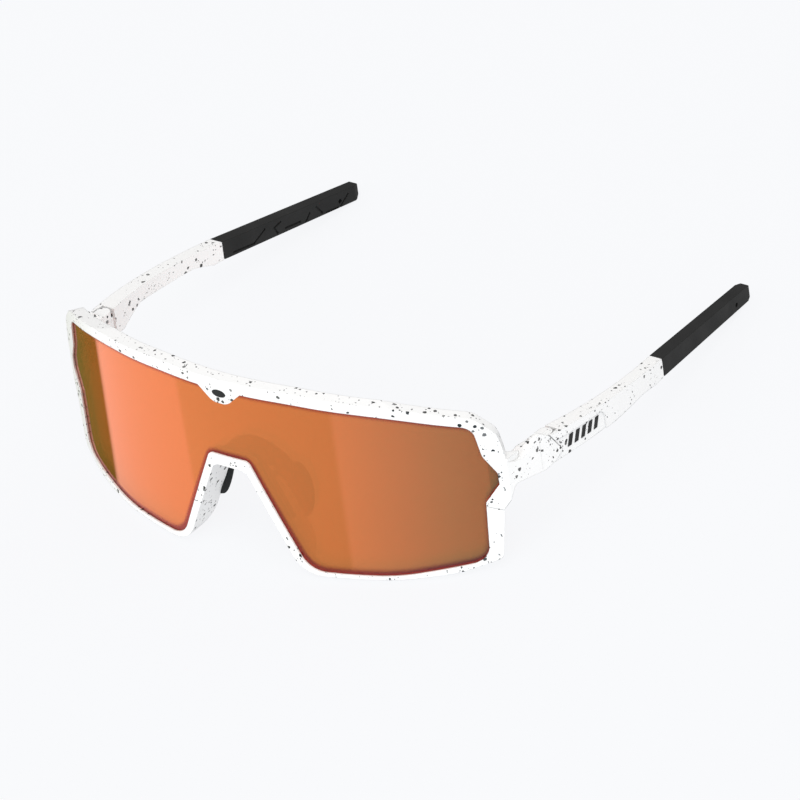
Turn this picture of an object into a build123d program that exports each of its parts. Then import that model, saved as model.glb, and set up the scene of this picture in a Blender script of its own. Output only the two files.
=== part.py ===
"""Wraparound sport sunglasses: one-piece shield lens, two-part frame, folding temples.

Every part is drawn in the front's own frame, in millimetres: +X to the right as met from
in front, -Y out of the front, Z up along the axis of the cylindrical lens, origin at the
middle of the lens's front face. Right and left in the names follow +X and -X.
set_down() then tips the finished parts onto the table they stand on: the lower rim and
the temple tips touch Z = 0, with X = 0 and Y = 0 in the middle of the footprint.
"""
import math
import os

from build123d import *

os.makedirs("parts", exist_ok=True)

# lens and frame section
LENS_R = 108.0            # radius of the lens's front face
LENS_THICK = 2.0
FRAME_PROUD = 0.6         # frame's front face stands this far in front of the lens
FRAME_BEHIND = 1.0        # wall behind the lens
GROOVE_DEPTH = 0.6        # how far the groove reaches past the visible opening
LENS_TUCK = 0.5           # how far the lens reaches past the visible opening
GROOVE_PLAY = 0.05
FRONT_R = LENS_R + FRAME_PROUD
BACK_R = LENS_R - LENS_THICK - FRAME_BEHIND

# seam between the upper frame and the lower rim
SEAM_IN = (62.0, -16.6)
SEAM_OUT = (68.0, -19.3)
SEAM_GAP = 0.12
TONGUE_X = (64.2, 65.6)
TONGUE_LOW = -24.6
TONGUE_R = 107.0          # the tongue lies behind this radius
TONGUE_COVER = 0.5        # wall left outside the tongue

# side walls of the frame lean inward towards the back, measured from +Y
EDGE = (67.2, 23.0)       # x, y of the line the leaning walls are drawn from
CORNER_LEAN = 36.5
SIDE_LEAN = 38.0

# hinge
PIVOT = (69.1, 38.9)      # x, y of the right hinge's axis
LUG_R = 1.9
LUG_TOP = -4.6
LUG_LOW = -12.5
SLOT_TOP = -7.0
SLOT_LOW = -10.2
NUT_TOP = -5.4            # top of the blind pocket in the upper lug
KNUCKLE_R = 1.8
KNUCKLE_PLAY = 0.1        # between the knuckle's end faces and the lugs
SWING_R = 2.2             # radius kept clear around the lugs
PIN_R = 0.60
PIN_BORE_R = 0.65
HEAD_R = 1.1
HEAD_HIGH = 0.7
NUT_R = 1.05
COVER_IN = 71.2           # inner face of the endpiece's outer cover
COVER_END = 36.3          # y where the thick bridge ends and the lugs begin
LUG_WEB = (35.8, 36.9)    # y range of the web between the lugs and the cover
SHANK_PLAY = 0.02
END_PLAY = 0.1            # between screw or nut and the ends of their pockets
SCREW_SLOT = (0.3, 0.3)   # width and depth of the driver slot

# temple
ARM_FRONT = 41.3          # front face of the arm behind the lugs
SLEEVE_START = 85.4
SLEEVE_WALL = 0.85
SPIGOT_END = 119.0
CORE_R = 0.5
PANEL_DEPTH = 0.35        # recess of the panel that carries the bars
MARK_PROUD = 0.15
MARK_DEPTH = 0.30
MARK_COUNT = 5
MARK_PITCH = 2.5
NOTCH_GAP = 0.3           # between the endpiece's point and the arm's notch
CORD_HOLE = (126.0, -16.5, 0.6)   # y, z and radius of the hole for a retainer cord
HOOK_LEVEL = -11.2        # z of the grip grooves' middle line where the sleeve starts
HOOK_WIDE = 0.55
HOOK_DEPTH = 0.35
SLEEVE_FALL = 0.131       # how much the sleeve drops per unit of length
# grip grooves, as paths of (along the sleeve, across it)
HOOKS = [((3.5, -1.5), (10.5, -1.5), (14.5, 1.1)), ((18.6, -1.4), (17.6, 0.4), (20.0, 1.3)),
         ((21.5, -0.9), (26.5, -0.9)), ((28.5, -1.5), (30.0, 0.3)), ((32.5, 1.2), (34.2, -1.0)),
         ((35.8, -1.4), (40.5, -1.4), (43.5, 1.2))]

# nose piece
FLANGE_R = 99.8           # the deep walls beside the nose end on this radius
INLAY = (10.2, 2.1, 1.05, 0.4)    # z, half width, half height and depth of the oval inlay
CLIP_THICK = 1.4
PEG_R = 0.55
PEG_HALF = 0.7
PAD_POST = (8.3, -14.6, 0.8)      # x, z and radius of the posts the pads are moulded round
PAD_HALF = (7.1, 3.4)
PAD_THICK = 2.2
PAD_ROUND = 0.8
WIRE_HALF = (0.9, 0.35)           # flat wire in the bridge, half depth and half thickness
SADDLE_HALF = (2.7, 1.2)

# standing on the table
TABLE_TILT = 8.75         # degrees the front leans back when the tips touch the table
TABLE_SHIFT = -62.606
TABLE_LIFT = 38.791


def rounded_outline(corners):
    """Closed face from (x, y, corner radius) points."""
    edges = []
    ends = []
    count = len(corners)
    for i in range(count):
        x, y, radius = corners[i]
        here = Vector(x, y)
        before = Vector(*corners[i - 1][:2]) - here
        after = Vector(*corners[(i + 1) % count][:2]) - here
        to_before = before.normalized()
        to_after = after.normalized()
        if radius == 0:
            ends.append((here, here))
            continue
        half = math.acos(max(-1.0, min(1.0, to_before.dot(to_after)))) / 2
        cut = radius / math.tan(half)
        middle = (to_before + to_after).normalized() * (radius / math.sin(half) - radius)
        start = here + to_before * cut
        end = here + to_after * cut
        edges.append(ThreePointArc(start, here + middle, end))
        ends.append((start, end))
    for i in range(count):
        start = ends[i - 1][1]
        end = ends[i][0]
        if (end - start).length > 1e-6:
            edges.append(Line(start, end))
    return make_face(Wire(edges))


def both_sides(half):
    """Right half of a symmetric outline, top to bottom, closed with its mirror image."""
    return list(half) + [(-x, y, r) for x, y, r in reversed(half)]


def through(face, start=-6.0, end=48.0):
    """Push an X-Z outline along +Y."""
    return extrude(Plane.XZ.offset(-start) * face, amount=-(end - start))


def polygon(points):
    """Closed face with straight sides."""
    return make_face(Polyline(*points, close=True))


def sideways(face, start=50.0, end=90.0):
    """Push a Y-Z outline along +X."""
    return extrude(Plane.YZ.offset(start) * face, amount=end - start)


def upright(face, low=-30.0, high=20.0):
    """Push an X-Y outline along +Z."""
    return extrude(Plane.XY.offset(low) * face, amount=high - low)


def shell(outer, inner):
    """Cylindrical wall about the lens's axis."""
    height = 80.0
    ring = Cylinder(outer, height) - Cylinder(inner, height)
    return Pos(0, LENS_R, -10) * ring


def block(x, y, z):
    """Box from three (low, high) pairs."""
    size = Box(x[1] - x[0], y[1] - y[0], z[1] - z[0])
    return Pos((x[0] + x[1]) / 2, (y[0] + y[1]) / 2, (z[0] + z[1]) / 2) * size


def rod(start, end, radius):
    """Round bar between two points."""
    plane = Plane(start, z_dir=Vector(*end) - Vector(*start))
    return extrude(plane * Circle(radius), amount=(Vector(*end) - Vector(*start)).length)


def post(x, y, low, high, radius):
    """Upright round bar."""
    return rod((x, y, low), (x, y, high), radius)


def other_side(part):
    """The same part on the left."""
    return mirror(part, about=Plane.YZ)


# outlines, right half from the top, as (x, z, corner radius)
OPENING = [(20.0, 11.2, 120.0), (44.0, 9.3, 120.0), (62.5, 5.3, 3.6), (63.8, -3.0, 4.0), (66.4, -8.1, 0.8),
           (66.5, -11.3, 0.5), (63.4, -16.1, 0.5), (62.7, -32.6, 5.0), (42.0, -36.5, 60.0),
           (19.6, -36.9, 7.0), (6.0, -8.1, 1.8)]
OUTSIDE = [(20.0, 14.3, 120.0), (44.0, 12.0, 110.0), (63.5, 8.6, 5.0), (68.6, 3.4, 5.0), (68.9, -1.8, 5.0),
           (67.9, -11.0, 30.0), (67.3, -19.0, 30.0), (66.2, -32.1, 2.2), (56.0, -35.7, 30.0),
           (42.0, -37.5, 60.0), (17.9, -38.1, 8.4), (4.9, -11.1, 3.0)]
TAB = [(8.5, 13.2, 0.0), (7.2, 11.8, 3.0), (2.2, 7.4, 4.0)]
FLANGE = [(7.6, -12.6, 0.0), (18.9, -36.5, 0.0), (16.6, -36.5, 0.0), (5.2, -12.6, 0.0)]


def wall_trim(lean, corners):
    """What lies outside a frame edge whose wall leans inward, on the right."""
    angle = math.radians(lean)
    along = (math.cos(angle), math.sin(angle), 0)
    out = (math.sin(angle), -math.cos(angle), 0)
    plane = Plane(origin=(*EDGE, 0), x_dir=along, z_dir=out)
    return extrude(plane * rounded_outline(corners), amount=12, both=True)


def end_trim():
    """What is cut off the front's right end, so that its side wall runs square to the lens."""
    corner = [(-27.5, 12.2, 0), (-5.4, 7.8, 6.0), (-0.1, 2.8, 5.0), (0.9, -1.8, 3.0), (1.3, -4.4, 0),
              (14.0, -5.0, 0), (14.0, 24.0, 0), (-27.5, 24.0, 0)]
    side = [(-0.35, -12.8, 0), (-0.6, -19.0, 20.0), (-2.3, -32.2, 2.2), (-14.2, -36.4, 30.0),
            (-22.0, -37.4, 0), (-22.0, -50.0, 0), (14.0, -50.0, 0), (14.0, -12.8, 0)]
    return wall_trim(CORNER_LEAN, corner) + wall_trim(SIDE_LEAN, side)


def frame_ring():
    """Brow, sides, lower rim and nose arch as one ring, before it is split."""
    ring = shell(FRONT_R, BACK_R) & through(rounded_outline(both_sides(OUTSIDE)))
    ring -= through(rounded_outline(both_sides(OPENING)))
    return ring - end_trim() - other_side(end_trim())


def lens_groove():
    """Space for the lens's edge inside the frame."""
    face = offset(rounded_outline(both_sides(OPENING)), GROOVE_DEPTH, kind=Kind.INTERSECTION)
    return shell(LENS_R + GROOVE_PLAY, LENS_R - LENS_THICK - GROOVE_PLAY) & through(face)


def upper_region():
    """Everything above the two side seams."""
    wide = 85.0
    slope = (SEAM_OUT[1] - SEAM_IN[1]) / (SEAM_OUT[0] - SEAM_IN[0])
    seam_wide = SEAM_IN[1] + slope * (wide - SEAM_IN[0])
    half = [(wide, 40.0, 0), (wide, seam_wide, 0), (*SEAM_IN, 0), (50.0, 0.0, 0)]
    return through(rounded_outline(both_sides(half)))


def rim_tongue(grow):
    """Tongue of the upper frame that laps behind the lower rim."""
    side = block((TONGUE_X[0] - grow, TONGUE_X[1] + grow), (10, 45), (TONGUE_LOW - grow, SEAM_OUT[1] + 2.2))
    angle = math.radians(SIDE_LEAN)
    cover = TONGUE_COVER - grow
    inward = Pos(-cover * math.cos(angle), -cover * math.sin(angle), 0)
    return (side & shell(TONGUE_R + grow, BACK_R)) - inward * end_trim()


def endpiece():
    """Right endpiece: scooped bridge from the frame's corner back to the hinge cover."""
    plan = [(64.6, 19.0), (68.3, 23.2), (71.6, 36.6), (72.3, 41.3), (COVER_IN, 41.3),
            (COVER_IN, COVER_END), (67.2, COVER_END), (66.2, 31.0), (63.2, 24.6), (62.6, 20.5)]
    side = [(17.0, -5.0, 0), (21.5, -4.5, 2.0), (28.6, -7.2, 4.5), (34.0, -2.1, 1.4), (37.2, -4.4, 1.5),
            (41.1, -10.1, 0.4), (38.6, -12.0, 0.8), (34.8, -13.0, 3.0), (25.6, -12.4, 1.6),
            (22.1, -19.2, 0), (17.0, -19.2, 0)]
    ridge = [(60.0, -25.0, 0), (60.0, -5.2, 0), (67.6, -5.0, 1.2), (70.4, -2.3, 1.0), (75.0, -2.3, 0),
             (75.0, -25.0, 0)]
    piece = upright(polygon(plan)) & sideways(rounded_outline(side))
    return piece & through(rounded_outline(ridge)) & upper_region()


def hinge_lugs():
    """Two lugs that hold the right hinge's screw."""
    lugs = post(*PIVOT, LUG_LOW, LUG_TOP, LUG_R)
    lugs += block((PIVOT[0] - LUG_R, PIVOT[0] + LUG_R), (34.0, PIVOT[1]), (LUG_LOW, LUG_TOP))
    lugs += block((PIVOT[0], COVER_IN + 0.1), LUG_WEB, (LUG_LOW, LUG_TOP))
    slot = post(*PIVOT, SLOT_LOW, SLOT_TOP, SWING_R)
    slot += block((PIVOT[0] - 6, COVER_IN), (LUG_WEB[1], 45.0), (SLOT_LOW, SLOT_TOP))
    return lugs, slot


def hinge_holes():
    """Holes of the right hinge in the lugs: head below, shank, and blind nut pocket above."""
    holes = post(*PIVOT, LUG_LOW - 1, NUT_TOP, PIN_R + SHANK_PLAY)
    holes += post(*PIVOT, LUG_LOW - 1, LUG_LOW + HEAD_HIGH + END_PLAY, HEAD_R + 0.05)
    holes += post(*PIVOT, SLOT_TOP - 0.5, NUT_TOP, NUT_R)
    return holes


def upper_frame():
    frame = frame_ring() & upper_region()
    lugs, slot = hinge_lugs()
    side = endpiece() - shell(400, FRONT_R)
    side = side + lugs - slot - hinge_holes()
    frame += side + rim_tongue(0)
    frame += other_side(side) + other_side(rim_tongue(0))
    frame -= shell(FRONT_R + 1, LENS_R - LENS_THICK) & through(rounded_outline(both_sides(OPENING)))
    frame += shell(FRONT_R, LENS_R + GROOVE_PLAY) & through(rounded_outline(both_sides(TAB)))
    return frame - lens_groove() - nose_mark()


def nose_flange():
    """Deep walls behind both legs of the nose arch, rounded off at their lower ends."""
    side = [(-10.0, 20.0, 0), (10.0, 20.0, 0), (10.0, -36.5, 9.0), (-10.0, -36.5, 0)]
    walls = shell(BACK_R + 0.1, FLANGE_R) & through(rounded_outline(FLANGE))
    walls &= extrude(Plane.YZ * rounded_outline(side), amount=30)
    walls &= through(rounded_outline(both_sides(OUTSIDE)))
    return walls + other_side(walls)


def lower_rim():
    rim = frame_ring() - Pos(0, 0, -SEAM_GAP) * upper_region() - lens_groove()
    tongue = rim_tongue(GROOVE_PLAY)
    return rim - tongue - other_side(tongue) + nose_flange() - nose_clip()


def lens():
    face = offset(rounded_outline(both_sides(OPENING)), LENS_TUCK, kind=Kind.INTERSECTION)
    return shell(LENS_R, LENS_R - LENS_THICK) & through(face)


def nose_mark():
    """Plain oval inlay in the tab."""
    middle, half_wide, half_high, depth = INLAY
    oval = Pos(0, middle) * Ellipse(half_wide, half_high)
    return shell(FRONT_R, FRONT_R - depth) & through(oval)


def nose_clip():
    """Carrier behind the nose arch, with two pegs into the rim."""
    band = [(7.5, -8.9, 2.0), (14.6, -24.5, 0.6), (12.9, -25.3, 0.6), (5.6, -10.2, 1.6)]
    clip = shell(BACK_R, BACK_R - CLIP_THICK) & through(rounded_outline(both_sides(band)))
    for x, z in ((7.4, -12.6), (12.6, -23.6), (-7.4, -12.6), (-12.6, -23.6)):
        back = LENS_R - math.sqrt(BACK_R ** 2 - x ** 2)
        clip += rod((x, back - PEG_HALF, z), (x, back + PEG_HALF, z), PEG_R)
    post_x, post_z, post_r = PAD_POST
    for x in (post_x, -post_x):
        clip += rod((x, 4.2, post_z), (x, 9.2, post_z), post_r)
    return clip


def nose_pad():
    """Right pad: long oval plate set along the side of the nose."""
    plate = extrude(Ellipse(*PAD_HALF), amount=PAD_THICK)
    plate = fillet(plate.edges(), PAD_ROUND)
    place = Plane(origin=(12.3, 10.5, -20.5), x_dir=(0.24, -0.18, -0.95), z_dir=(-0.55, 0.80, -0.29))
    return place * plate


def nose_path():
    """Centre line of the bridge that joins the pads."""
    half = [(9.6, 11.2, -17.4), (6.6, 9.6, -11.8)]
    return Spline(*[(-x, y, z) for x, y, z in half], (0, 8.8, -9.2), *reversed(half))


def along_nose_path(depth, thick):
    """Oval bar along the bridge: half its depth front to back, half its thickness."""
    path = nose_path()
    section = Plane(origin=path @ 0, x_dir=(0, 1, 0), z_dir=path % 0) * Ellipse(depth, thick)
    return sweep(section, path=path)


def nose_wire():
    return along_nose_path(*WIRE_HALF)


def saddle_jacket():
    """Solid outline of the bridge, its ends rounded front and back."""
    side = [(4.0, 2.0, 0), (15.0, 2.0, 0), (14.0, -18.0, 2.6), (8.4, -18.0, 2.6), (5.9, -9.0, 0),
            (4.0, -4.0, 0)]
    return along_nose_path(*SADDLE_HALF) & extrude(Plane.YZ * rounded_outline(side), amount=15, both=True)


def nose_saddle():
    """Soft-touch jacket of the bridge, over its bendable wire."""
    return saddle_jacket() - nose_wire() - nose_clip() - nose_flange()


def nose_pad_right():
    return nose_pad() - saddle_jacket() - nose_clip() - nose_flange()


# temple plan, as curves through the outer and inner faces
ARM_OUT = [(71.3, 35.0), (73.0, 49.0), (72.9, 66.0), (70.9, SLEEVE_START)]
ARM_IN = [(67.4, 41.0), (69.1, 54.0), (69.2, 68.0), (67.1, SLEEVE_START)]
TIP_OUT = (62.85, 133.2)
TIP_IN = (60.0, 131.4)
ARM_TOP = [(30.0, -4.0), (44.0, -4.8), (62.0, -6.2), (SLEEVE_START, -8.6)]
ARM_LOW = [(30.0, -12.8), (44.0, -12.5), (64.0, -13.2), (SLEEVE_START, -13.7)]


def arm_plan(inset):
    """Plan of the arm up to the sleeve, its outer face moved in by inset."""
    outer = Spline(*[(x - inset, y) for x, y in ARM_OUT])
    inner = Spline(*ARM_IN)
    front = Line((ARM_OUT[0][0] - inset, ARM_OUT[0][1]), ARM_IN[0])
    end = Line((ARM_OUT[-1][0] - inset, ARM_OUT[-1][1]), ARM_IN[-1])
    return make_face(Wire([outer, inner, front, end]))


def arm_side():
    """Side view of the arm with the notch that takes the endpiece's point."""
    top = Spline(*ARM_TOP)
    low = Spline(*ARM_LOW)
    front = Line(ARM_TOP[0], ARM_LOW[0])
    end = Line(ARM_TOP[-1], ARM_LOW[-1])
    face = make_face(Wire([top, low, front, end]))
    side = extrude(Plane.YZ.offset(50) * face, amount=40)
    point = [(37.2, 5.0), (37.2, -4.4), (41.1, -10.1), (38.6, -12.2), (34.8, -13.2), (34.8, -20.0)]
    notch = [(y + NOTCH_GAP, z) for y, z in point] + [(20.0, -20.0), (20.0, 5.0)]
    return side - sideways(polygon(notch))


def spigot():
    """Inner tongue of the arm that the sleeve is pushed over."""
    wall = SLEEVE_WALL
    plan = [(70.9 - wall, SLEEVE_START - 1), (64.4, SPIGOT_END), (62.75, SPIGOT_END),
            (67.1 + wall, SLEEVE_START - 1)]
    side = [(SLEEVE_START - 1, -8.5 - wall), (SPIGOT_END, -13.0 - wall),
            (SPIGOT_END, -17.5 + wall), (SLEEVE_START - 1, -13.5 + wall)]
    return upright(polygon(plan)) & sideways(polygon(side))


def temple_core():
    return rod((70.2, 78.0, -10.3), (64.1, 116.0, -15.1), CORE_R)


def temple_mark():
    """Row of plain slanted bars on the outer face."""
    band = upright(arm_plan(PANEL_DEPTH - MARK_PROUD)) - upright(arm_plan(PANEL_DEPTH + MARK_DEPTH))
    bars = []
    for i in range(MARK_COUNT):
        y = 43.2 + MARK_PITCH * i
        low = -10.6 - 0.08 * i
        high = -7.6 - 0.12 * i
        bars.append(sideways(polygon([(y, low), (y + 1.3, low), (y + 2.4, high), (y + 1.1, high)])))
    return band & Compound(bars)


def hinge_knuckle():
    low = SLOT_LOW + KNUCKLE_PLAY
    high = SLOT_TOP - KNUCKLE_PLAY
    knuckle = post(*PIVOT, low, high, KNUCKLE_R)
    knuckle += block((PIVOT[0] - 1.1, PIVOT[0] + 1.1), (PIVOT[1], ARM_FRONT + 0.5), (low, high))
    knuckle += block((PIVOT[0] - 0.2, PIVOT[0] + 1.0), (ARM_FRONT, 47.5), (low, high))
    return knuckle - post(*PIVOT, low - 1, high + 1, PIN_BORE_R)


def temple_arm():
    arm = upright(arm_plan(0)) & arm_side()
    arm -= block((50, COVER_IN - 0.1), (30, ARM_FRONT), (-20, 0))
    arm -= post(*PIVOT, -20, 0, SWING_R)
    panel = upright(arm_plan(-1)) - upright(arm_plan(PANEL_DEPTH))
    edge = [(30.0, -6.3), (56.6, -7.5), (57.8, -9.0), (57.8, -20.0), (30.0, -20.0)]
    arm -= panel & sideways(polygon(edge))
    arm -= arm_scoop()
    arm += spigot()
    return arm - hinge_knuckle() - temple_core() - temple_mark()


def arm_scoop():
    """Cut that slopes the arm's underside up towards its inner face, deepest behind the hinge."""
    stations = [(44.5, 67.2, -12.9, 73.4, -12.9), (54.0, 67.2, -7.8, 73.4, -13.3),
                (75.0, 67.2, -10.7, 73.4, -13.3), (82.5, 67.2, -13.9, 73.4, -13.9)]
    sections = []
    for y, x_in, z_in, x_out, z_out in stations:
        z_low = z_out - 2.0
        section = polygon([(x_in, z_in), (x_out, z_out), (x_out, z_low), (x_in, z_low)])
        sections.append(Plane.XZ.offset(-y) * section)
    return loft(sections, ruled=True)


def temple_sleeve():
    plan = [(70.9, SLEEVE_START), TIP_OUT, (62.2, 133.8), (60.7, 133.4), TIP_IN, (67.1, SLEEVE_START)]
    side = [(SLEEVE_START, -8.6), (133.0, -14.8), (133.9, -15.8), (133.9, -17.7), (132.2, -18.9),
            (87.0, -13.9), (SLEEVE_START + 0.3, -13.7)]
    sleeve = upright(polygon(plan)) & sideways(polygon(side))
    sleeve -= spigot()
    hole_y, hole_z, hole_r = CORD_HOLE
    sleeve -= rod((55, hole_y, hole_z), (75, hole_y, hole_z), hole_r)
    return sleeve - sleeve_grooves()


def groove_bar(start, end):
    """Straight groove between two points given along and across the sleeve."""
    ends = [Vector(SLEEVE_START + t, HOOK_LEVEL - SLEEVE_FALL * t + across) for t, across in (start, end)]
    first, last = ends
    step = (last - first).normalized() * HOOK_WIDE / 2
    aside = Vector(-step.Y, step.X)
    a = first - step
    b = last + step
    return sideways(polygon([a + aside, b + aside, b - aside, a - aside]))


def sleeve_grooves():
    """Shallow hooked grooves in the sleeve's inner face."""
    skin = [(66.1, SLEEVE_START), (TIP_IN[0] - 1.0, TIP_IN[1]), (TIP_IN[0] + HOOK_DEPTH, TIP_IN[1]),
            (67.1 + HOOK_DEPTH, SLEEVE_START)]
    bars = []
    for hook in HOOKS:
        for i in range(len(hook) - 1):
            bars.append(groove_bar(hook[i], hook[i + 1]))
    return upright(polygon(skin)) & Compound(bars)


def hinge_screw():
    head = LUG_LOW + END_PLAY
    screw = post(*PIVOT, head, NUT_TOP - END_PLAY, PIN_R)
    screw += post(*PIVOT, head, head + HEAD_HIGH, HEAD_R)
    wide, deep = SCREW_SLOT
    x, y = PIVOT
    slot = block((x - 2, x + 2), (y - wide / 2, y + wide / 2), (head - 1, head + deep))
    return screw - slot


def hinge_nut():
    nut = post(*PIVOT, SLOT_TOP + END_PLAY, NUT_TOP, NUT_R)
    return nut - post(*PIVOT, SLOT_TOP, NUT_TOP, PIN_R + SHANK_PLAY)


def set_down(part):
    """Tip a part onto the table."""
    return Pos(0, TABLE_SHIFT, TABLE_LIFT) * Rot(-TABLE_TILT, 0, 0) * part


def save(name, *solids):
    placed = [set_down(s) for s in solids]
    whole = placed[0] if len(placed) == 1 else Compound(children=placed)
    export_step(whole, f"parts/{name}.step")


def main():
    save("upper_frame", upper_frame())
    save("lower_rim", lower_rim())
    save("lens", lens())
    save("nose_mark", nose_mark())
    save("nose_clip", nose_clip())
    save("nose_saddle", nose_saddle())
    save("nose_wire", nose_wire())
    save("nose_pad_right", nose_pad_right())
    save("nose_pad_left", other_side(nose_pad_right()))
    for name, build in (("hinge_screws", hinge_screw), ("hinge_nuts", hinge_nut)):
        save(name, build(), other_side(build()))
    for name, build in (("temple_arm", temple_arm), ("temple_core", temple_core), ("temple_mark", temple_mark),
                        ("temple_sleeve", temple_sleeve), ("hinge_knuckle", hinge_knuckle)):
        part = build()
        save(f"{name}_right", part)
        save(f"{name}_left", other_side(part))


main()
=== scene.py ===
"""Wraparound sport sunglasses: finishes, lens, floor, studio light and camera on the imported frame."""
import math

import bpy
from mathutils import Matrix, Vector

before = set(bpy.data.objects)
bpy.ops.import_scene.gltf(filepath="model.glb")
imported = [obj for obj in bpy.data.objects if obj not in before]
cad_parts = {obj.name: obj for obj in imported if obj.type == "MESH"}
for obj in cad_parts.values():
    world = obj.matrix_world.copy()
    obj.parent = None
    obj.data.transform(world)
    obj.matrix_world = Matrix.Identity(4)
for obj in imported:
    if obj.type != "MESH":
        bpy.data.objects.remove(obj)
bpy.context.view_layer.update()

# how the front stands in the row frame
FRONT_LEAN = math.radians(8.75)
LENS_MIDDLE = Vector((0.0, -0.062606, 0.038791))   # middle of the lens's front face

# camera, from the middle of the lens along the front's own axes
VIEW_AZIMUTH = math.radians(40.45)
VIEW_ELEVATION = math.radians(30.0)
VIEW_ROLL = math.radians(-7.92)
VIEW_DISTANCE = 3.24
VIEW_RIGHT = 0.0431
VIEW_UP = 0.0069
FOCAL_MM = 591.6
SENSOR_MM = 36.0

# studio
LIGHT_DISTANCE = 2.0
FLOOR_HALF = 6.0
WARM_WHITE = (1.0, 0.98, 0.95)

# panels round the lens's axis, below the horizon: azimuth in degrees from straight ahead, and
# the brightness there; two stops close together are the edge between two panels
PANELS = [(-180, (0.30, 0.30, 0.30, 1)), (-122.0, (0.30, 0.30, 0.30, 1)), (-117.0, (0.26, 0.31, 0.08, 1)),
          (-94.8, (0.26, 0.30, 0.07, 1)), (-94.0, (1.26, 1.19, 1.22, 1)), (-56.8, (1.12, 1.15, 1.20, 1)),
          (-56.2, (0.92, 1.00, 0.87, 1)), (-8.0, (0.68, 0.82, 0.71, 1)), (-7.2, (0.79, 0.95, 1.02, 1)),
          (10.0, (0.57, 0.82, 1.00, 1)), (21.0, (0.42, 0.75, 0.96, 1)), (40.0, (0.26, 0.53, 0.70, 1)),
          (70.0, (0.85, 0.85, 0.85, 1)), (160.0, (0.95, 0.95, 0.95, 1)), (180, (0.30, 0.30, 0.30, 1))]
SKY_FAR = 0.52            # brightness of the sky behind the glasses
SKY_NEAR = 0.96           # and on the camera's side

# heights between which the mirror coating turns a little darker
TINT_LOW = 0.004
TINT_HIGH = 0.034

# the dark red band along the lens's edge where it meets the frame, partly the edge itself and partly painted
# shade and a painted reflection of the frame's wall: the heights between which it widens, how wide it is
# there, and how nearly the rounded normal agrees with the face's own where it starts and where it is full
EDGE_LOW = 0.006
EDGE_HIGH = 0.030
EDGE_WIDE_LOW = 0.0036
EDGE_WIDE_HIGH = 0.0030
EDGE_STARTS = 0.99985
EDGE_FULL = 0.992
LENS_ROUGHNESS = 0.03
EDGE_ROUGHNESS = 0.22

FLECK_BEND = 0.0007       # how far a fleck's outline wanders, in metres
CREASE_REACH = 0.005      # how near another wall has to be to shade the white plastic

WHITE_PIECES = ("upper_frame", "lower_rim", "temple_arm_right", "temple_arm_left",
                "hinge_knuckle_right", "hinge_knuckle_left")
SOFT_PIECES = ("nose_saddle", "nose_pad_right", "nose_pad_left", "temple_sleeve_right", "temple_sleeve_left")
DARK_PIECES = ("nose_mark", "nose_clip", "temple_mark_right", "temple_mark_left")
STEEL_PIECES = ("nose_wire", "hinge_screws", "hinge_nuts", "temple_core_right", "temple_core_left")


# ---------------------------------------------------------------- node helpers

class Nodes:
    """Small helper round one node tree."""

    def __init__(self, tree):
        self.tree = tree

    def add(self, kind, **settings):
        node = self.tree.nodes.new(kind)
        for name, value in settings.items():
            setattr(node, name, value)
        return node

    def link(self, start, end):
        self.tree.links.new(start, end)

    def feed(self, socket, value):
        """Give an input a number, a colour or another node's output."""
        if isinstance(value, bpy.types.NodeSocket):
            self.link(value, socket)
        else:
            socket.default_value = value

    def math(self, operation, *values):
        node = self.add("ShaderNodeMath", operation=operation)
        for socket, value in zip(node.inputs, values):
            self.feed(socket, value)
        return node.outputs[0]

    def range(self, value, low, high, out_low=0.0, out_high=1.0, smooth=False):
        node = self.add("ShaderNodeMapRange")
        if smooth:
            node.interpolation_type = "SMOOTHSTEP"
        for name, given in (("Value", value), ("From Min", low), ("From Max", high),
                            ("To Min", out_low), ("To Max", out_high)):
            self.feed(node.inputs[name], given)
        return node.outputs["Result"]

    def mix(self, factor, first, second):
        node = self.add("ShaderNodeMix", data_type="RGBA")
        self.feed(node.inputs["Factor"], factor)
        self.feed(node.inputs[6], first)
        self.feed(node.inputs[7], second)
        return node.outputs[2]

    def place(self):
        return self.add("ShaderNodeTexCoord").outputs["Object"]

    def noise(self, scale, detail=2.0):
        """Noise with scale bumps to the metre."""
        node = self.add("ShaderNodeTexNoise")
        self.link(self.place(), node.inputs["Vector"])
        node.inputs["Scale"].default_value = scale
        node.inputs["Detail"].default_value = detail
        return node

    def bump(self, height, distance, strength, normal):
        node = self.add("ShaderNodeBump")
        node.inputs["Distance"].default_value = distance
        node.inputs["Strength"].default_value = strength
        self.link(height, node.inputs["Height"])
        self.link(normal, node.inputs["Normal"])
        return node.outputs["Normal"]

    def soft_edge(self, radius):
        """Normal that rounds every edge by radius."""
        node = self.add("ShaderNodeBevel", samples=6)
        node.inputs["Radius"].default_value = radius
        return node.outputs["Normal"]


def new_material(name, **values):
    """Principled material with plain values set on the shader's own sockets."""
    material = bpy.data.materials.new(name)
    material.use_nodes = True
    shader = material.node_tree.nodes["Principled BSDF"]
    for socket, value in values.items():
        shader.inputs[socket.replace("_", " ")].default_value = value
    return material, Nodes(material.node_tree), shader


def grey(level):
    return (level, level, level, 1)


# ---------------------------------------------------------------- finishes

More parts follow.
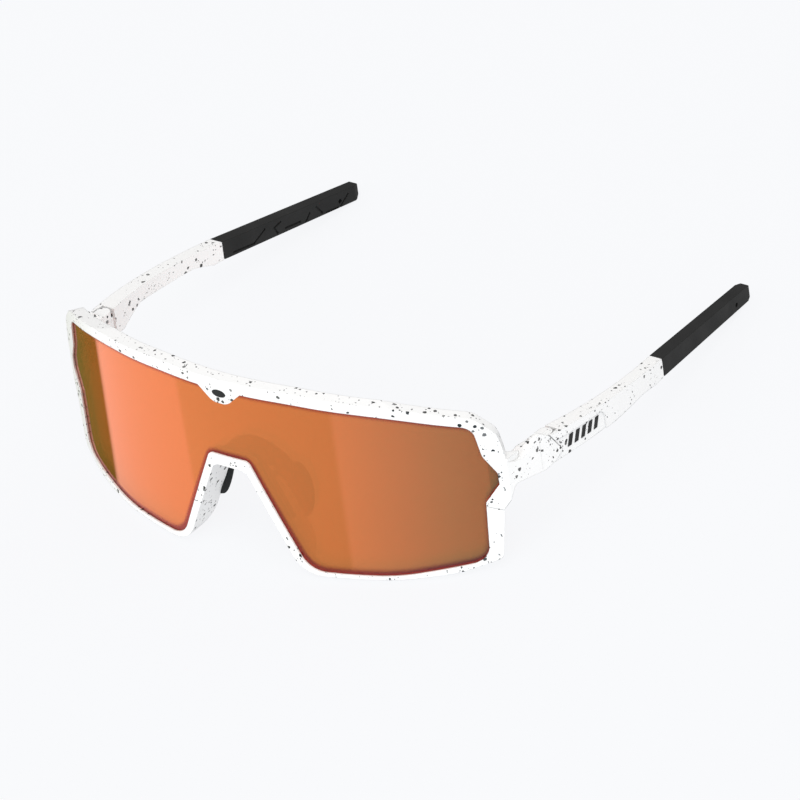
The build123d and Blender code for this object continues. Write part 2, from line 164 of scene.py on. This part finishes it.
def flecks(nodes, scale, low, high, crowd):
    """1 inside irregular flecks: one in a cell, of random size, gathered in clusters.

    A cell whose size comes out below 0 has no fleck, so low sets how many cells stay empty.
    """
    bend = nodes.noise(1400.0, detail=2.0)
    shift = nodes.add("ShaderNodeVectorMath", operation="MULTIPLY_ADD")
    nodes.link(bend.outputs["Color"], shift.inputs[0])
    shift.inputs[1].default_value = (FLECK_BEND, FLECK_BEND, FLECK_BEND)
    nodes.link(nodes.place(), shift.inputs[2])
    cells = nodes.add("ShaderNodeTexVoronoi", feature="F1")
    cells.inputs["Scale"].default_value = scale
    nodes.link(shift.outputs[0], cells.inputs["Vector"])
    chance = nodes.add("ShaderNodeSeparateColor")
    nodes.link(cells.outputs["Color"], chance.inputs["Color"])
    size = nodes.range(chance.outputs["Red"], 0.0, 1.0, low, high)
    inside = nodes.math("LESS_THAN", cells.outputs["Distance"], size)
    cluster = nodes.math("GREATER_THAN", nodes.noise(170.0, detail=1.0).outputs["Fac"], crowd)
    keep = nodes.math("MULTIPLY", inside, cluster)
    return keep, chance.outputs["Green"]


def white_plastic():
    """White moulded plastic with black and grey flecks, and painted shade that greys it in creases."""
    material, nodes, shader = new_material(
        "white_speckled_plastic", Roughness=0.38, IOR=1.5, Coat_Weight=0.12, Coat_Roughness=0.2)
    cloud = nodes.noise(60.0, detail=3.0).outputs["Fac"]
    crease_shade_ao = nodes.add("ShaderNodeAmbientOcclusion", samples=8)
    crease_shade_ao.inputs["Distance"].default_value = CREASE_REACH
    base = nodes.mix(cloud, grey(0.90), grey(0.93))
    # painted shade: the white is greyed towards 0.72 in creases, where another wall lies within CREASE_REACH
    base = nodes.mix(nodes.range(crease_shade_ao.outputs["AO"], 0.15, 0.7), grey(0.72), base)
    big, big_tone = flecks(nodes, scale=660.0, low=-0.14, high=0.37, crowd=0.43)
    fine, fine_tone = flecks(nodes, scale=1150.0, low=-0.08, high=0.30, crowd=0.48)
    big_colour = nodes.mix(nodes.math("POWER", big_tone, 2.5), grey(0.008), grey(0.20))
    fine_colour = nodes.mix(fine_tone, grey(0.03), grey(0.42))
    colour = nodes.mix(fine, base, fine_colour)
    colour = nodes.mix(big, colour, big_colour)
    nodes.link(colour, shader.inputs["Base Color"])
    grain = nodes.noise(2600.0, detail=2.0).outputs["Fac"]
    nodes.link(nodes.bump(grain, 0.00003, 0.25, nodes.soft_edge(0.00035)), shader.inputs["Normal"])
    return material


def mirror_lens():
    """Orange mirror coating on tinted polycarbonate, with a dark red band of painted shade and painted
    reflection of the frame along its edge.
    """
    material, nodes, shader = new_material(
        "mirror_lens", Metallic=0.72, IOR=1.08, Transmission_Weight=1.0)
    height = nodes.add("ShaderNodeSeparateXYZ")
    nodes.link(nodes.place(), height.inputs["Vector"])
    low_down = nodes.range(height.outputs["Z"], TINT_HIGH, TINT_LOW, smooth=True)
    cloud = nodes.noise(22.0, detail=1.0).outputs["Fac"]
    face = nodes.mix(cloud, (0.90, 0.268, 0.094, 1), (0.89, 0.272, 0.097, 1))
    face = nodes.mix(low_down, face, (0.87, 0.262, 0.092, 1))
    # painted shade and painted reflection: the lens turns dark red in a band where its edge meets the frame,
    # wider low down
    edge = nodes.add("ShaderNodeBevel", samples=12)
    wide = nodes.range(height.outputs["Z"], EDGE_HIGH, EDGE_LOW, EDGE_WIDE_HIGH, EDGE_WIDE_LOW)
    nodes.link(wide, edge.inputs["Radius"])
    turned = nodes.add("ShaderNodeVectorMath", operation="DOT_PRODUCT")
    nodes.link(edge.outputs["Normal"], turned.inputs[0])
    nodes.link(nodes.add("ShaderNodeNewGeometry").outputs["Normal"], turned.inputs[1])
    edge_shade = nodes.range(turned.outputs["Value"], EDGE_STARTS, EDGE_FULL, smooth=True)
    nodes.link(nodes.mix(edge_shade, face, (0.40, 0.070, 0.060, 1)), shader.inputs["Base Color"])
    nodes.link(nodes.range(edge_shade, 0.0, 1.0, LENS_ROUGHNESS, EDGE_ROUGHNESS), shader.inputs["Roughness"])
    return material


def soft_rubber():
    """Black soft-touch rubber with a fine grain and slightly greyer worn patches."""
    material, nodes, shader = new_material("soft_black_rubber", IOR=1.4)
    cloud = nodes.noise(140.0, detail=4.0).outputs["Fac"]
    nodes.link(nodes.mix(cloud, grey(0.006), grey(0.012)), shader.inputs["Base Color"])
    nodes.link(nodes.range(cloud, 0.3, 0.7, 0.62, 0.80), shader.inputs["Roughness"])
    grain = nodes.noise(4200.0, detail=3.0).outputs["Fac"]
    nodes.link(nodes.bump(grain, 0.00004, 0.4, nodes.soft_edge(0.0003)), shader.inputs["Normal"])
    return material


def dark_plastic():
    """Black moulded plastic with a fine etched surface."""
    material, nodes, shader = new_material("dark_plastic", Roughness=0.6, IOR=1.35)
    cloud = nodes.noise(220.0, detail=3.0).outputs["Fac"]
    nodes.link(nodes.mix(cloud, grey(0.010), grey(0.020)), shader.inputs["Base Color"])
    grain = nodes.noise(5200.0, detail=2.0).outputs["Fac"]
    nodes.link(nodes.bump(grain, 0.00003, 0.35, nodes.soft_edge(0.00015)), shader.inputs["Normal"])
    return material


def turned_steel():
    """Bright steel with fine turning marks."""
    material, nodes, shader = new_material("turned_steel", Metallic=1.0, Anisotropic=0.4)
    marks = nodes.noise(3000.0, detail=3.0).outputs["Fac"]
    nodes.link(nodes.mix(marks, (0.48, 0.48, 0.49, 1), (0.62, 0.62, 0.63, 1)), shader.inputs["Base Color"])
    nodes.link(nodes.range(marks, 0.2, 0.8, 0.22, 0.38), shader.inputs["Roughness"])
    nodes.link(nodes.bump(marks, 0.00001, 0.5, nodes.soft_edge(0.00006)), shader.inputs["Normal"])
    return material


def paint(node, material):
    """Give a CAD node its finish."""
    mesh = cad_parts[node].data
    mesh.materials.clear()
    mesh.materials.append(material)


def paint_all():
    for pieces, material in ((WHITE_PIECES, white_plastic()), (SOFT_PIECES, soft_rubber()),
                             (DARK_PIECES, dark_plastic()), (STEEL_PIECES, turned_steel()),
                             (("lens",), mirror_lens())):
        for node in pieces:
            paint(node, material)


# ---------------------------------------------------------------- studio

def floor():
    """Pale floor that is mostly lit from within, so that it stays plain with only faint shadows."""
    mesh = bpy.data.meshes.new("floor")
    half = FLOOR_HALF
    corners = [(-half, -half, 0), (half, -half, 0), (half, half, 0), (-half, half, 0)]
    mesh.from_pydata(corners, [], [(0, 1, 2, 3)])
    obj = bpy.data.objects.new("floor", mesh)
    bpy.context.scene.collection.objects.link(obj)
    material, nodes, shader = new_material(
        "floor_paper", Roughness=1.0, Specular_IOR_Level=0.0, Emission_Strength=1.0)
    cloud = nodes.noise(0.8).outputs["Fac"]
    paper = nodes.mix(cloud, (0.060, 0.061, 0.062, 1), (0.063, 0.064, 0.065, 1))
    nodes.link(paper, shader.inputs["Base Color"])
    shader.inputs["Emission Color"].default_value = (0.875, 0.882, 0.900, 1)
    mesh.materials.append(material)
    obj.visible_glossy = False


def studio_world():
    """Soft white surroundings. Below the horizon they are a ring of large panels round the lens's axis."""
    world = bpy.data.worlds.new("studio")
    bpy.context.scene.world = world
    world.use_nodes = True
    nodes = Nodes(world.node_tree)
    background = world.node_tree.nodes["Background"]
    turn = nodes.add("ShaderNodeMapping", vector_type="POINT")
    turn.inputs["Rotation"].default_value = (FRONT_LEAN, 0, 0)
    nodes.link(nodes.add("ShaderNodeTexCoord").outputs["Generated"], turn.inputs["Vector"])
    parts = nodes.add("ShaderNodeSeparateXYZ")
    nodes.link(turn.outputs["Vector"], parts.inputs["Vector"])
    forward = nodes.math("MULTIPLY", parts.outputs["Y"], -1.0)
    around = nodes.math("ARCTAN2", parts.outputs["X"], forward)
    ramp = nodes.add("ShaderNodeValToRGB")
    nodes.link(nodes.range(around, -math.pi, math.pi), ramp.inputs["Fac"])
    stops = ramp.color_ramp.elements
    for i, (azimuth, colour) in enumerate(PANELS):
        position = (azimuth + 180) / 360
        stop = stops[i] if i < 2 else stops.new(position)
        stop.position = position
        stop.color = colour
    # the sky is brighter on the camera's side
    side = nodes.add("ShaderNodeVectorMath", operation="DOT_PRODUCT")
    nodes.link(turn.outputs["Vector"], side.inputs[0])
    side.inputs[1].default_value = (math.sin(VIEW_AZIMUTH), -math.cos(VIEW_AZIMUTH), 0.35)
    near = nodes.range(side.outputs["Value"], -0.7, 0.8, smooth=True)
    sky = nodes.mix(near, grey(SKY_FAR), grey(SKY_NEAR))
    above = nodes.range(parts.outputs["Z"], -0.12, 0.05, smooth=True)
    nodes.link(nodes.mix(above, ramp.outputs["Color"], sky), background.inputs["Color"])


def toward(azimuth, elevation):
    """Unit vector at an angle round from straight ahead, to the right, and up from level."""
    level = math.cos(elevation)
    return Vector((math.sin(azimuth) * level, -math.cos(azimuth) * level, math.sin(elevation)))


def softbox(name, azimuth, elevation, size, power):
    """Large square area light aimed at the glasses, its angles in degrees."""
    light = bpy.data.lights.new(name, "AREA")
    light.shape = "SQUARE"
    light.size = size
    light.energy = power
    light.color = WARM_WHITE
    obj = bpy.data.objects.new(name, light)
    back = toward(math.radians(azimuth), math.radians(elevation))
    obj.location = back * LIGHT_DISTANCE
    obj.rotation_mode = "QUATERNION"
    obj.rotation_quaternion = back.to_track_quat("Z", "Y")
    obj.visible_glossy = False
    bpy.context.scene.collection.objects.link(obj)


def photo_camera():
    """Camera at the view the glasses are shown from."""
    a, e, r = VIEW_AZIMUTH, VIEW_ELEVATION, VIEW_ROLL
    right = Vector((math.cos(a), math.sin(a), 0))
    up = Vector((-math.sin(a) * math.sin(e), math.cos(a) * math.sin(e), math.cos(e)))
    back = toward(a, e)
    rolled_right = right * math.cos(r) + up * math.sin(r)
    rolled_up = up * math.cos(r) - right * math.sin(r)
    place = rolled_right * VIEW_RIGHT + rolled_up * VIEW_UP + back * VIEW_DISTANCE
    axes = Matrix((rolled_right, rolled_up, back)).transposed().to_4x4()
    front = Matrix.Translation(LENS_MIDDLE) @ Matrix.Rotation(-FRONT_LEAN, 4, "X")
    data = bpy.data.cameras.new("photo_camera")
    data.lens = FOCAL_MM
    data.sensor_width = SENSOR_MM
    data.clip_end = 20.0
    obj = bpy.data.objects.new("photo_camera", data)
    obj.matrix_world = front @ Matrix.Translation(place) @ axes
    bpy.context.scene.collection.objects.link(obj)
    bpy.context.scene.camera = obj


paint_all()
floor()
studio_world()
softbox("key", azimuth=50, elevation=62, size=1.2, power=13)
softbox("front", azimuth=-10, elevation=25, size=1.4, power=9)
photo_camera()
bpy.context.scene.view_settings.view_transform = "Standard"
